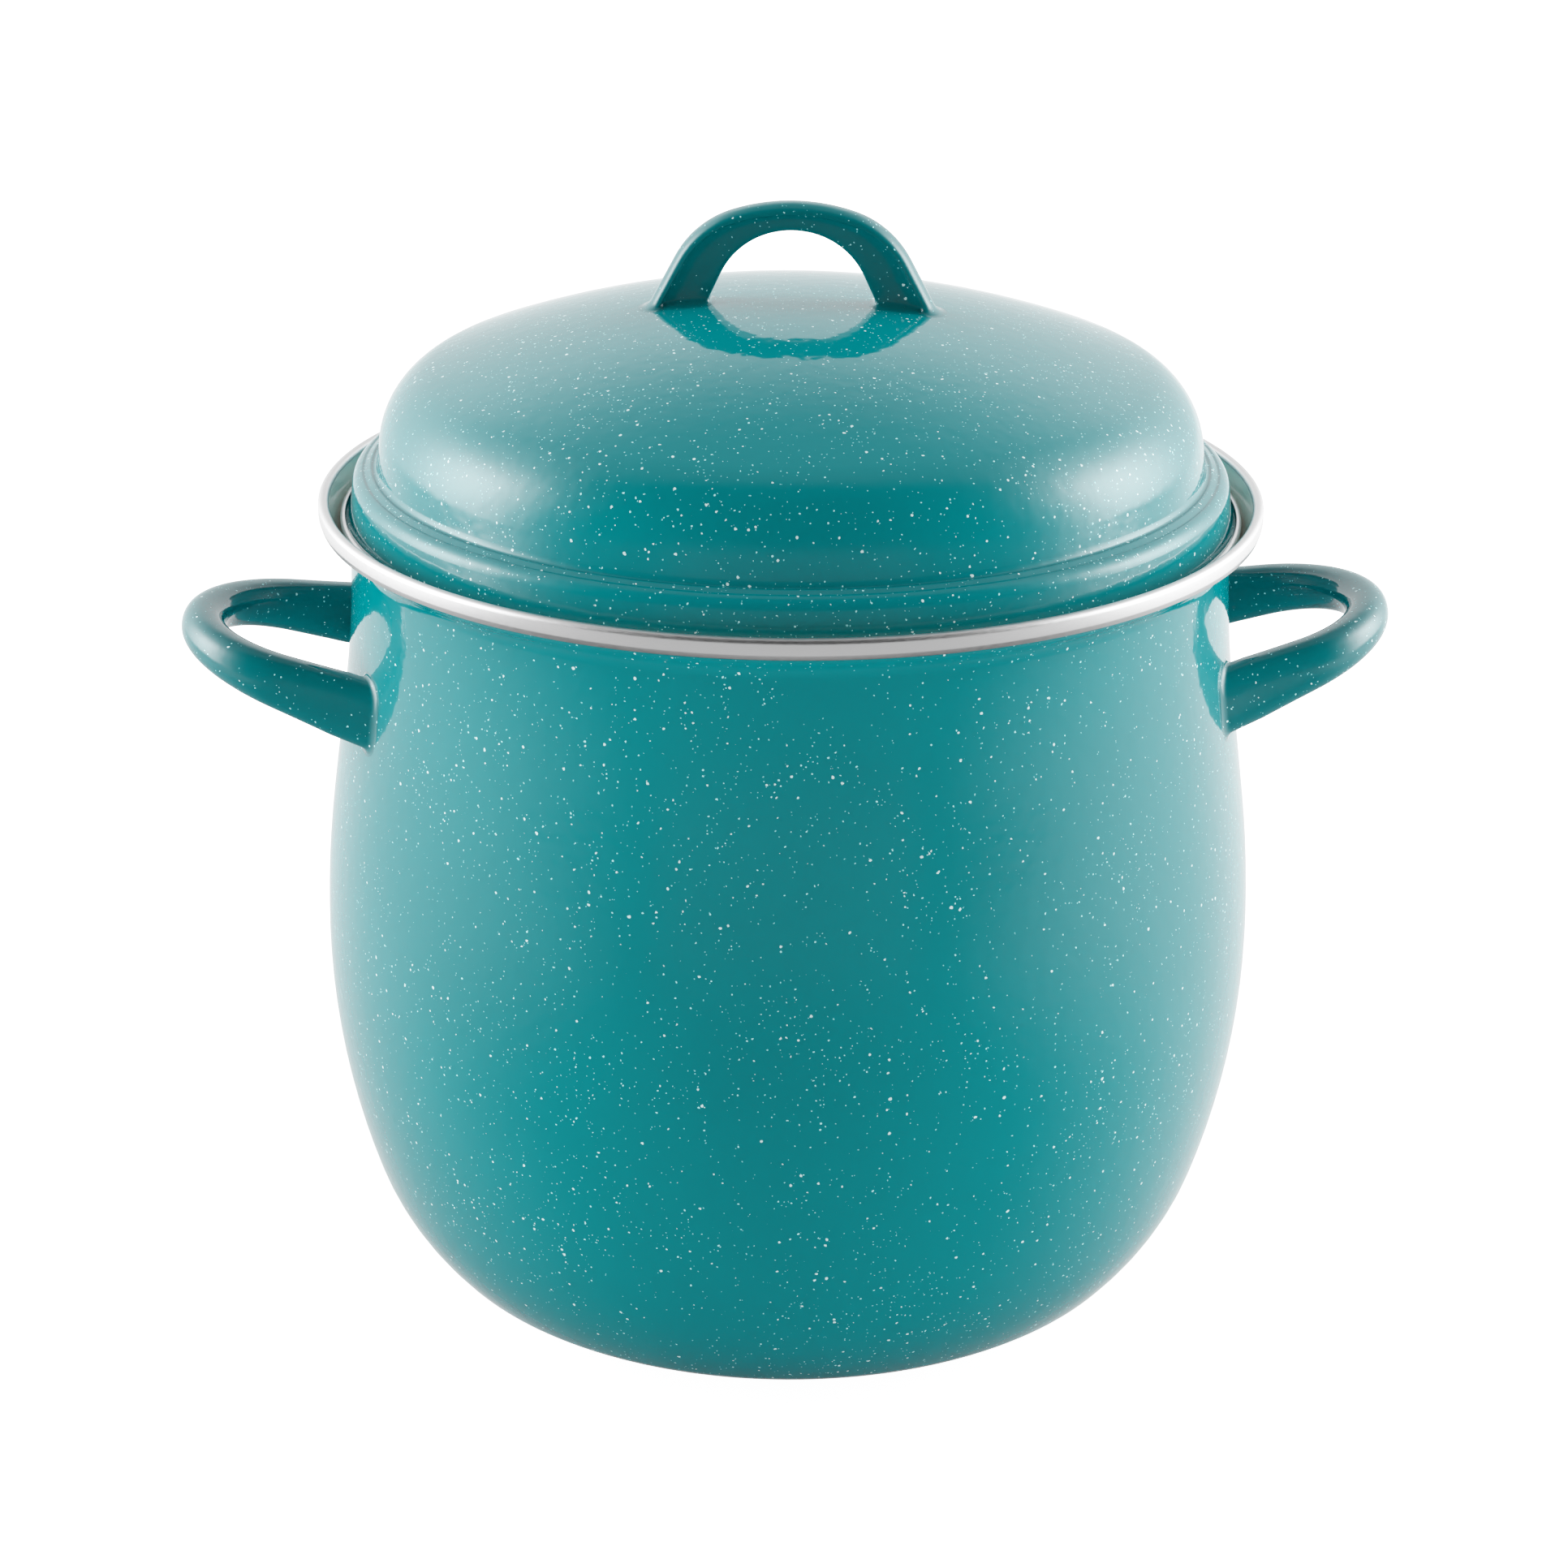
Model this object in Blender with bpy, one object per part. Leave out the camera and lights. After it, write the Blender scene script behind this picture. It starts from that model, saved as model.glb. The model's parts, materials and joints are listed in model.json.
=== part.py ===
"""Water bath canner: an enamelled steel stock pot and domed lid, both edged with
stainless steel bands, and a folding wire jar rack that stands inside the pot.

Lengths below are millimetres and are scaled to metres when a mesh is made. +Z is up,
the origin is the centre of the base, and the two side handles point along +X and -X.
"""

import math

import bmesh
import bpy
from mathutils import Matrix, Vector

MM = 0.001
SEGMENTS = 36          # facets round every turned piece and ring, so that they line up
GAP = 0.3              # clearance between pieces that touch or are welded
SEAM = 0.5             # clearance between a folded band and the lip inside it

# Pot
POT_HEIGHT = 260.0
WALL = 1.2
BASE_RECESS = 1.0      # the middle of the base is pressed up by this
RECESS_RADIUS = 94.0
BASE_FLAT_RADIUS = 109.5

# Stainless bands
BAND = 0.6
POT_BAND_RADIUS = 150.0
POT_BAND_HEIGHT = 6.2
POT_BAND_HEM = 4.4     # how far the band reaches down inside the lip
LID_BAND_RADIUS = 143.2
LID_BAND_BOTTOM = 251.4
LID_BAND_HEIGHT = 3.2
LID_BAND_DEPTH = 1.6
BAND_SOFT = 0.8        # size of the bands' rounded folds

# Lid
LID_TOP = 321.0
CROWN_RADIUS = 315.7
CROWN_ANGLE = 20.95    # slope where the crown meets the shoulder
LID_HANDLE_YAW = -6.6  # how far the lid stands turned against the side handles

# Side handles
HANDLE_WALL = 1.4
SIDE_FOOT = Vector((136.4, 46.5))   # centre of a foot on the pot, as x and y
SIDE_FOOT_Z = 202.8
SIDE_TIP = 188.0
SIDE_TIP_ARC = 40.0    # radius of the bend at the tip, seen from above
SIDE_TILT = 15.6       # degrees above level
SIDE_FOOT_SINK = 14.0  # how far a leg runs on into the pot before it is trimmed
SIDE_FOOT_SIZE = (5.4, 11.2)        # half thickness, half height
SIDE_TIP_SIZE = (6.9, 6.5)

# Lid handle
BOW_TOP = 352.0        # outer edge of the bow at its middle
BOW_ARCH = 343.5       # inner edge there
BOW_HALF_DEPTH = 5.5
BOW_CROWN = 4.0        # how far its outer edge is domed
BOW_WALL = 1.2

# Jar rack
THICK_WIRE = 1.75      # wire radii
RING_WIRE = 1.5
FLOOR_WIRE = 1.5
RING_SLACK = 0.2       # extra room beside a ring, whose facets aren't a true circle
FOOT_RING_RADIUS = 107.0
TOP_RING_RADIUS = 133.7
DIVIDER_TOP_RADIUS = 135.4
DIVIDER_TOP = 84.0
DIVIDER_INNER_RADIUS = 43.4   # leaves 83 mm for the middle jar
DIVIDER_BEND = 5.0
UPPER_RING_DROP = 2.0  # upper centre ring, below the start of the dividers' bend
FLOOR_RING_Z = 16.0
FLOOR_WIRES = 7
FLOOR_WIRE_PITCH = 30.0
FLOOR_WIRE_END = 0.5   # how far a floor wire reaches past the floor ring's centre line
DIVIDERS = 6
HINGE_X = 122.0        # far enough out for a raised bail to clear the jars
BAR_HALF_LENGTH = 56.0
BAIL_HALF_WIDTH = 26.0
BAIL_LENGTH = 70.0
BAIL_CORNER = 12.0
EYE_TURN = 260.0       # degrees of the eye round its bar

TEAL = (0.0, 0.25, 0.265)
STEEL = (0.72, 0.72, 0.72)
CHROME = (0.62, 0.63, 0.64)


# ---------------------------------------------------------------- scene and materials

def clear_scene():
    for obj in list(bpy.data.objects):
        bpy.data.objects.remove(obj)


def material(name, color, roughness, metallic):
    made = bpy.data.materials.new(name)
    made.use_nodes = True
    shader = made.node_tree.nodes["Principled BSDF"]
    shader.inputs["Base Color"].default_value = (*color, 1.0)
    shader.inputs["Roughness"].default_value = roughness
    shader.inputs["Metallic"].default_value = metallic
    return made


def enamel(name):
    return material(name, TEAL, 0.12, 0.0)


def stainless(name):
    return material(name, STEEL, 0.18, 1.0)


def chrome(name):
    return material(name, CHROME, 0.15, 1.0)


def add_object(name, data, finish):
    obj = bpy.data.objects.new(name, data)
    bpy.context.scene.collection.objects.link(obj)
    if finish:
        obj.data.materials.append(finish)
    return obj


def add_mesh(name, bm, finish):
    """A smooth shaded object from a bmesh in millimetres."""
    bmesh.ops.recalc_face_normals(bm, faces=bm.faces)
    bmesh.ops.scale(bm, vec=Vector((MM, MM, MM)), verts=bm.verts)
    mesh = bpy.data.meshes.new(name)
    bm.to_mesh(mesh)
    bm.free()
    mesh.shade_smooth()
    mesh.set_sharp_from_angle(angle=math.radians(40))
    return add_object(name, mesh, finish)


# ---------------------------------------------------------------- outlines

def trace(start, heading, moves):
    """Points (r, z, heading) along a chain of lines and tangent arcs.

    A move is (length,) for a line, or (radius, turn, steps) for an arc, whose turn in
    degrees is positive to the left.
    """
    r, z = start
    angle = math.radians(heading)
    path = [(r, z, angle)]
    for move in moves:
        if len(move) == 1:
            r += move[0] * math.cos(angle)
            z += move[0] * math.sin(angle)
            path.append((r, z, angle))
            continue
        radius, turn, steps = move
        bend = math.copysign(radius, turn)
        centre_r = r - bend * math.sin(angle)
        centre_z = z + bend * math.cos(angle)
        for _ in range(steps):
            angle += math.radians(turn) / steps
            r = centre_r + bend * math.sin(angle)
            z = centre_z - bend * math.cos(angle)
            path.append((r, z, angle))
    return path


def offset(path, distance):
    """The path moved sideways to its left, kept off the far side of the axis."""
    moved = []
    for r, z, angle in path:
        moved.append((max(r - distance * math.sin(angle), 0.0), z + distance * math.cos(angle)))
    return moved


def sheet(path, thickness):
    """The outline of sheet metal whose right-hand face follows the path."""
    return offset(path, 0.0) + offset(path, thickness)[::-1]


def turned(name, outline, finish, on_axis=False):
    """The outline spun about Z. An outline that starts and ends on the axis stays open."""
    bm = bmesh.new()
    verts = [bm.verts.new((r, 0.0, z)) for r, z in outline]
    pairs = list(zip(verts, verts[1:]))
    if not on_axis:
        pairs.append((verts[-1], verts[0]))
    edges = [bm.edges.new(pair) for pair in pairs]
    bmesh.ops.spin(
        bm, geom=verts + edges, axis=(0, 0, 1), cent=(0, 0, 0),
        angle=math.tau, steps=SEGMENTS, use_merge=True,
    )
    bmesh.ops.remove_doubles(bm, verts=bm.verts, dist=1e-3)
    return add_mesh(name, bm, finish)


# ---------------------------------------------------------------- pot

def pot_path():
    """The pot's outer face from the middle of the base to the top of the lip."""
    press = 30.0                       # steepness of the step round the base recess
    step_radius = BASE_RECESS / (2 * (1 - math.cos(math.radians(press))))
    step_width = 2 * step_radius * math.sin(math.radians(press))
    flat = BASE_FLAT_RADIUS - RECESS_RADIUS - step_width
    return trace((0.0, BASE_RECESS), 0.0, [
        (RECESS_RADIUS,),
        (step_radius, -press, 1),
        (step_radius, press, 1),
        (flat,),
        (15.8, 48.0, 3),               # base corner
        (85.8, 23.8, 3),
        (249.0, 18.2, 3),              # up to the belly
        (351.0, 7.7, 2),
        (36.9,),
        (352.0, -7.7, 2),              # neck
        (6.0, -52.0, 2),               # flare under the band
        (6.2,),
        (4.0, 52.0, 2),
        (3.0,),                        # lip, held by the band
    ])


def pot_shell():
    return turned("pot_shell", sheet(pot_path(), WALL), enamel("pot_enamel"), on_axis=True)


def pot_rim_band():
    """A strip folded down over the lip, with its edge curled in a little outside."""
    outer = POT_BAND_RADIUS
    inner = outer - WALL - 2 * (BAND + SEAM)
    top = POT_HEIGHT
    bottom = top - POT_BAND_HEIGHT
    hem = top - POT_BAND_HEM
    soft = BAND_SOFT
    edge = outer - soft / 2
    outline = [
        (edge, bottom), (outer, bottom + soft), (outer, top - soft),
        (outer - soft, top), (inner + soft, top), (inner, top - soft),
        (inner, hem), (inner + BAND, hem),
        (inner + BAND, top - soft), (inner + soft, top - BAND),
        (outer - soft, top - BAND), (outer - BAND, top - soft),
        (outer - BAND, bottom + soft), (edge - BAND, bottom),
    ]
    return turned("pot_rim_band", outline, stainless("pot_band_steel"))


# ---------------------------------------------------------------- lofts

def loft(name, outer, inner, finish):
    """A tube with open ends through two matching lists of rings of points."""
    bm = bmesh.new()
    skins = [[[bm.verts.new(p) for p in ring] for ring in skin] for skin in (outer, inner)]
    for rings in skins:
        for low, high in zip(rings, rings[1:]):
            join_rings(bm, low, high)
    for end in (0, -1):
        join_rings(bm, skins[0][end], skins[1][end])
    return add_mesh(name, bm, finish)


def join_rings(bm, low, high):
    count = len(low)
    for i in range(count):
        j = (i + 1) % count
        bm.faces.new((low[i], low[j], high[j], high[i]))


def cut(obj, cutter):
    """Takes the hidden cutter away from the object."""
    cutter.hide_render = True
    cutter.display_type = "WIRE"
    boolean = obj.modifiers.new("fit", "BOOLEAN")
    boolean.operation = "DIFFERENCE"
    boolean.solver = "EXACT"
    boolean.object = cutter


# ---------------------------------------------------------------- side handles

def side_stations():
    """Points (p, q) with headings along the plan of a side handle, foot to foot."""
    centre = SIDE_TIP - SIDE_TIP_ARC
    to_foot = Vector((SIDE_FOOT.x - centre, SIDE_FOOT.y))
    start = math.atan2(to_foot.y, to_foot.x) - math.acos(SIDE_TIP_ARC / to_foot.length)
    tangent = Vector((centre + SIDE_TIP_ARC * math.cos(start), SIDE_TIP_ARC * math.sin(start)))
    along = (tangent - SIDE_FOOT).normalized()
    buried = SIDE_FOOT - SIDE_FOOT_SINK * along
    leg = [buried.lerp(tangent, i / 4) for i in range(4)]
    steps = 8
    arc = []
    for i in range(steps + 1):
        angle = start * (1 - 2 * i / steps)
        arc.append(Vector((centre + SIDE_TIP_ARC * math.cos(angle), SIDE_TIP_ARC * math.sin(angle))))
    other_leg = [Vector((point.x, -point.y)) for point in reversed(leg)]
    return leg + arc + other_leg


def oval(half_thickness, half_height, count=12, power=2.5):
    """A rounded oval as (thickness, height) pairs."""
    points = []
    for i in range(count):
        angle = math.tau * (i + 0.5) / count
        c, s = math.cos(angle), math.sin(angle)
        points.append((
            half_thickness * math.copysign(abs(c) ** (2 / power), c),
            half_height * math.copysign(abs(s) ** (2 / power), s),
        ))
    return points


def side_rings(inset):
    """The rings of a side handle's skin, moved in by inset."""
    stations = side_stations()
    tilt = math.radians(SIDE_TILT)
    out = Vector((math.cos(tilt), 0.0, math.sin(tilt)))
    up = Vector((-math.sin(tilt), 0.0, math.cos(tilt)))
    across = Vector((0.0, 1.0, 0.0))
    foot = Vector((SIDE_FOOT.x, 0.0, SIDE_FOOT_Z))
    rings = []
    for i, point in enumerate(stations):
        before = stations[max(i - 1, 0)]
        after = stations[min(i + 1, len(stations) - 1)]
        heading = (after - before).normalized()
        side = -heading.y * out + heading.x * across
        reach = (point.x - SIDE_FOOT.x) / (SIDE_TIP - SIDE_FOOT.x)
        blend = min(max(reach, 0.0), 1.0) ** 0.8    # thins a little faster near the foot
        thick = SIDE_FOOT_SIZE[0] + blend * (SIDE_TIP_SIZE[0] - SIDE_FOOT_SIZE[0])
        tall = SIDE_FOOT_SIZE[1] + blend * (SIDE_TIP_SIZE[1] - SIDE_FOOT_SIZE[1])
        middle = foot + out * ((point.x - SIDE_FOOT.x) / math.cos(tilt)) + across * point.y
        rings.append([middle + side * a + up * b for a, b in oval(thick - inset, tall - inset)])
    return rings


def pot_plug():
    """The solid neck of the pot, grown by the gap, which trims the handles' feet."""
    neck = [(r, z) for r, z in offset(pot_path(), -GAP) if 150.0 < z < 245.0]
    outline = [(0.0, neck[0][1])] + neck + [(0.0, neck[-1][1])]
    return turned("pot_plug", outline, None, on_axis=True)


def side_handle(name, direction, cutter):
    """direction is 1 for the handle at +X and -1 for the one at -X."""
    turn = Matrix.Rotation(0.0 if direction > 0 else math.pi, 3, "Z")
    outer = [[turn @ p for p in ring] for ring in side_rings(0.0)]
    inner = [[turn @ p for p in ring] for ring in side_rings(HANDLE_WALL)]
    handle = loft(name, outer, inner, enamel(name + "_enamel"))
    cut(handle, cutter)
    return handle


# ---------------------------------------------------------------- lid

def lid_path():
    """The lid's outer face from the middle of the crown out and down to the flange.

    The metal lies to the right of this path.
    """
    return trace((0.0, LID_TOP), 0.0, [
        (CROWN_RADIUS, -CROWN_ANGLE, 4),
        (27.3, CROWN_ANGLE - 90.0, 5),       # shoulder
        (2.6,),
        (3.0, 72.0, 2),                      # fillet onto the ledge
        (4.0,),
        (4.0, -66.0, 2),                     # edge of the ledge
        (9.2,),                              # skirt
        (2.0, 84.0, 2),                      # flange
        (0.2,),
    ])


def lid_shell():
    path = lid_path()
    outline = offset(path, 0.0) + offset(path, -WALL)[::-1]
    return turned("lid_shell", outline, enamel("lid_enamel"), on_axis=True)


def lid_rim_band():
    """A strip folded round the edge of the flange, open towards the axis."""
    outer = LID_BAND_RADIUS
    low = LID_BAND_BOTTOM
    high = low + LID_BAND_HEIGHT
    depth = LID_BAND_DEPTH
    soft = BAND_SOFT
    outline = [
        (outer - depth, low), (outer - soft, low), (outer, low + soft),
        (outer, high - soft), (outer - soft, high), (outer - depth, high),
        (outer - depth, high - BAND), (outer - soft, high - BAND),
        (outer - BAND, high - soft), (outer - BAND, low + soft),
        (outer - soft, low + BAND), (outer - depth, low + BAND),
    ]
    return turned("lid_rim_band", outline, stainless("lid_band_steel"))


def bow_edges():
    """Half of the lid handle's outer and inner edges, from its top to a foot.

    The last step of each runs on inside the lid, where it is trimmed.
    """
    outer = trace((0.0, BOW_TOP), 0.0, [(62.0, -18.0, 2), (31.0, -44.0, 3), (12.5,), (12.5,)])
    inner = trace((0.0, BOW_ARCH), 0.0, [(26.0, -18.0, 2), (24.0, -47.0, 3), (12.0,), (12.0,)])
    return outer, inner


def bullet(half_thickness, half_depth, crown):
    """A flat-sided section with a domed outer edge, as (outward, depth) pairs."""
    soft = 0.25 * half_depth
    side = [
        (-half_thickness, half_depth - soft),
        (-half_thickness + soft, half_depth),
        (half_thickness - crown, half_depth),
        (half_thickness - 0.35 * crown, 0.76 * half_depth),
    ]
    mirrored = [(outward, -depth) for outward, depth in reversed(side)]
    return side + [(half_thickness, 0.0)] + mirrored


def bow_rings(inset):
    """The rings of the lid handle's skin, foot to foot, moved in by inset."""
    outer, inner = bow_edges()
    turn = Matrix.Rotation(math.radians(LID_HANDLE_YAW), 3, "Z")
    last = len(outer) - 1
    order = [(i, -1) for i in range(last, 0, -1)] + [(i, 1) for i in range(last + 1)]
    rings = []
    for i, way in order:
        edge = Vector((way * outer[i][0], 0.0, outer[i][1]))
        arch = Vector((way * inner[i][0], 0.0, inner[i][1]))
        middle = (edge + arch) / 2
        out = (edge - arch).normalized()
        half = (edge - arch).length / 2
        section = bullet(half - inset, BOW_HALF_DEPTH - inset, BOW_CROWN - inset / 2)
        rings.append([turn @ (middle + out * a + Vector((0.0, b, 0.0))) for a, b in section])
    return rings


def crown_plug():
    """The solid crown of the lid, grown by the gap, which trims the handle's feet."""
    crown = [(r, z) for r, z in offset(lid_path(), GAP) if z > 290.0]
    outline = crown + [(crown[-1][0], 280.0), (0.0, 280.0)]
    return turned("crown_plug", outline, None, on_axis=True)


def lid_handle():
    handle = loft("lid_handle", bow_rings(0.0), bow_rings(BOW_WALL), enamel("lid_handle_enamel"))
    cut(handle, crown_plug())
    return handle


# ---------------------------------------------------------------- jar rack

def wire(name, points, radius, origin=(0.0, 0.0, 0.0), closed=False, fine=False):
    """Round wire along the points, with its object's origin at origin."""
    curve = bpy.data.curves.new(name, "CURVE")
    curve.dimensions = "3D"
    curve.bevel_depth = radius * MM
    curve.bevel_resolution = 2 if fine else 1
    curve.use_fill_caps = not closed
    curve.twist_mode = "MINIMUM"
    spline = curve.splines.new("POLY")
    spline.points.add(len(points) - 1)
    for target, point in zip(spline.points, points):
        target.co = (*((Vector(point) - Vector(origin)) * MM), 1.0)
    spline.use_cyclic_u = closed
    obj = add_object(name, curve, chrome(name + "_chrome"))
    obj.location = Vector(origin) * MM
    return obj


def wire_ring(name, radius, z, wire_radius):
    points = []
    for i in range(SEGMENTS):
        angle = math.tau * i / SEGMENTS
        points.append((radius * math.cos(angle), radius * math.sin(angle), z))
    return wire(name, points, wire_radius, closed=True)


def rack_levels():
    """Heights of the rack's wires, each resting on the one below with the usual gap."""
    foot = WALL + GAP + RING_WIRE
    leg_end = foot + RING_WIRE + 2 * GAP
    floor = FLOOR_RING_Z + RING_WIRE + GAP + FLOOR_WIRE
    centre_low = floor + FLOOR_WIRE + GAP + RING_WIRE
    top_ring = DIVIDER_TOP + THICK_WIRE + GAP + THICK_WIRE
    bar = top_ring + THICK_WIRE + GAP + THICK_WIRE
    return foot, leg_end, floor, centre_low, top_ring, bar


def leg_radius(z):
    """Distance from the axis to a divider's sloping outer leg at this height."""
    low = rack_levels()[1]
    share = (z - low) / (DIVIDER_TOP - low)
    return FOOT_RING_RADIUS + share * (DIVIDER_TOP_RADIUS - FOOT_RING_RADIUS)


def rack_rings():
    foot, _, _, centre_low, top_ring, _ = rack_levels()
    wire_ring("rack_foot_ring", FOOT_RING_RADIUS, foot, RING_WIRE)
    beside_leg = THICK_WIRE + GAP + RING_WIRE + RING_SLACK
    wire_ring("rack_floor_ring", leg_radius(FLOOR_RING_Z) - beside_leg, FLOOR_RING_Z, RING_WIRE)
    wire_ring("rack_top_ring", TOP_RING_RADIUS, top_ring, THICK_WIRE)
    wire_ring("rack_center_ring_lower", DIVIDER_INNER_RADIUS, centre_low, RING_WIRE)
    wire_ring(
        "rack_center_ring_upper", DIVIDER_INNER_RADIUS + beside_leg,
        DIVIDER_TOP - DIVIDER_BEND - UPPER_RING_DROP, RING_WIRE,
    )


def rack_floor():
    """Straight wires across the floor ring, which the jars stand on."""
    floor = rack_levels()[2]
    ring = leg_radius(FLOOR_RING_Z) - THICK_WIRE - GAP - RING_WIRE
    for i in range(FLOOR_WIRES):
        x = (i - (FLOOR_WIRES - 1) / 2) * FLOOR_WIRE_PITCH
        half = math.sqrt(ring * ring - x * x) + FLOOR_WIRE_END
        wire(f"rack_floor_wire_{i + 1}", [(x, -half, floor), (x, half, floor)], FLOOR_WIRE)


def bend(corner, before, after, radius, steps):
    """Points of an arc that rounds the corner between two directions away from it."""
    a = (Vector(before) - Vector(corner)).normalized()
    b = (Vector(after) - Vector(corner)).normalized()
    half = a.angle(b) / 2
    centre = Vector(corner) + (a + b).normalized() * (radius / math.sin(half))
    reach = radius / math.tan(half)
    start = Vector(corner) + a * reach - centre
    end = Vector(corner) + b * reach - centre
    turn = start.angle(end)
    axis = start.cross(end).normalized()
    return [centre + Matrix.Rotation(turn * i / steps, 3, axis) @ start for i in range(steps + 1)]


def rack_dividers():
    """Bent wires: a sloping outer leg, a run to the centre ring and an inner leg."""
    _, leg_end, _, centre_low, _, _ = rack_levels()
    foot = (FOOT_RING_RADIUS, 0.0, leg_end)
    outer = (DIVIDER_TOP_RADIUS, 0.0, DIVIDER_TOP)
    inner = (DIVIDER_INNER_RADIUS, 0.0, DIVIDER_TOP)
    end = (DIVIDER_INNER_RADIUS, 0.0, centre_low + RING_WIRE + GAP)
    points = [Vector(foot)]
    points += bend(outer, foot, inner, DIVIDER_BEND, 4)
    points += bend(inner, outer, end, DIVIDER_BEND, 4)
    points.append(Vector(end))
    for i in range(DIVIDERS):
        turn = Matrix.Rotation(math.tau * i / DIVIDERS, 3, "Z")
        wire(f"rack_divider_{i + 1}", [turn @ point for point in points], THICK_WIRE)


def rack_hinge_bar(name, direction):
    bar = rack_levels()[5]
    x = direction * HINGE_X
    wire(name, [(x, -BAR_HALF_LENGTH, bar), (x, BAR_HALF_LENGTH, bar)], THICK_WIRE, fine=True)


def bail_points(direction):
    """A bail folded inwards onto a divider: an eye round the bar, a leg, the grip, and back."""
    level, bar = rack_levels()[4:]
    eye_radius = bar - level
    eye = []
    steps = 9
    for i in range(steps + 1):
        angle = math.radians(90.0 + EYE_TURN * (1 - i / steps))
        eye.append(Vector((
            direction * (HINGE_X - eye_radius * math.cos(angle)),
            BAIL_HALF_WIDTH,
            bar - eye_radius * math.sin(angle),
        )))
    far = direction * (HINGE_X - BAIL_LENGTH)
    corner = (far, BAIL_HALF_WIDTH, level)
    middle = (far, 0.0, level)
    half = eye + bend(corner, eye[-1], middle, BAIL_CORNER, 5)
    mirrored = [Vector((point.x, -point.y, point.z)) for point in reversed(half)]
    return half + mirrored


def rack_handle(name, direction):
    """Its origin is on the hinge axis."""
    origin = (direction * HINGE_X, 0.0, rack_levels()[5])
    wire(name, bail_points(direction), THICK_WIRE, origin=origin, fine=True)


def main():
    clear_scene()
    pot_shell()
    pot_rim_band()
    plug = pot_plug()
    side_handle("side_handle_right", 1, plug)
    side_handle("side_handle_left", -1, plug)
    lid_shell()
    lid_rim_band()
    lid_handle()
    rack_rings()
    rack_floor()
    rack_dividers()
    for side, direction in (("right", 1), ("left", -1)):
        rack_hinge_bar(f"rack_hinge_bar_{side}", direction)
        rack_handle(f"rack_handle_{side}", direction)


main()
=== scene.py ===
import json
import math

import bpy
import numpy as np
from mathutils import Matrix, Vector

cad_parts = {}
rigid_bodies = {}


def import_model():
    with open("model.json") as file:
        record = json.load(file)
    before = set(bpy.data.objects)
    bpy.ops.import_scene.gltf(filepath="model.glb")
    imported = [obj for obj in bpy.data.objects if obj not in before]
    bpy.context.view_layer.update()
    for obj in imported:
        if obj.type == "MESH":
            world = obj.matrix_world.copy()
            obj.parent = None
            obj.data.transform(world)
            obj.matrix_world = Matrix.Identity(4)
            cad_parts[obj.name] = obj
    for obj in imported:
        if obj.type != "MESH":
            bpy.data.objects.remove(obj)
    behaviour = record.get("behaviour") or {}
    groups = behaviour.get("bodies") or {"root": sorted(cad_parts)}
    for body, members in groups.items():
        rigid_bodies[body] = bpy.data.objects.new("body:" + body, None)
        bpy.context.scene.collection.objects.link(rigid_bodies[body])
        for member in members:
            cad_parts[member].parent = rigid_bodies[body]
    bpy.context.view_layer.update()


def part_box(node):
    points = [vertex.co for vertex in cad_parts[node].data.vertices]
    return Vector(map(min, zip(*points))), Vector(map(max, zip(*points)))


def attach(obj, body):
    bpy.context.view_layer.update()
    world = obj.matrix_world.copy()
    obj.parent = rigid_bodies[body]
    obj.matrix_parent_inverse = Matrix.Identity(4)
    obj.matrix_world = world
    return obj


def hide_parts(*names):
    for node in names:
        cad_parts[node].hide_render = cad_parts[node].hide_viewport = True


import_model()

# The looks of an enamelled water bath canner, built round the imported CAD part.
# Lengths are millimetres until a mesh is made. +Z is up and the side handles lie on +X and -X.

MM = 0.001
SEGMENTS = 192                  # steps round a turned body
BAND_SEGMENTS = 256             # steps round a steel band

# Pot
POT_HEIGHT = 260.0
WALL = 1.2
BASE_RECESS = 1.0
RECESS_RADIUS = 94.0
BASE_FLAT_RADIUS = 109.5
BASE_PRESS = 30.0               # degrees, slope of the step round the recess
POT_BAND_RADIUS = 150.0
POT_BAND_WIDTH = 3.4
POT_BAND_HEIGHT = 6.2
POT_BAND_INNER_LEG = 1.4
POT_BAND_CURL = 1.6             # height of the curled lower edge
POT_BAND_TUCK = 0.5             # how far that edge curls in
BAND_STOCK = 0.6                # thickness of the folded strip

# Lid
LID_TOP = 321.0
CROWN_RADIUS = 315.7
CROWN_ANGLE = 20.95
LID_BAND_RADIUS = 143.2
LID_BAND_LOW = 251.4
LID_BAND_HIGH = 254.6
LID_BAND_DEPTH = 1.6

# Side handles
SIDE_FOOT = (136.4, 46.5)
SIDE_FOOT_Z = 202.8
SIDE_TIP = 188.0
SIDE_TIP_ARC = 40.0
SIDE_TILT = 15.6
SIDE_FOOT_SIZE = (5.4, 11.2)    # half thickness and half height
SIDE_TIP_SIZE = (6.9, 6.5)
SIDE_FILLET = 2.2
SIDE_CLEAR = 3.0                # the leg proper starts this far from the wall
SIDE_SUNK = (20.0, 10.0)        # how far the first rings lie behind the foot
WALL_FROM = 60.0                # the handles sit on the wall above this height

# Lid handle
BOW_TOP = 352.0
BOW_ARCH = 343.5
BOW_HALF_DEPTH = 5.5
BOW_CROWN = 3.0                 # height of the roll along the outer edge
BOW_WEB_STEP = 1.0              # how far the flat sides lie inside the roll
BOW_WEB_RAMP = 0.9              # length of the slope between side and roll
BOW_SOFT = 1.1                  # radius of the inner edges
BOW_YAW = -6.6
BOW_FILLET = 2.8
BOW_CLEAR = 3.4

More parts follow.
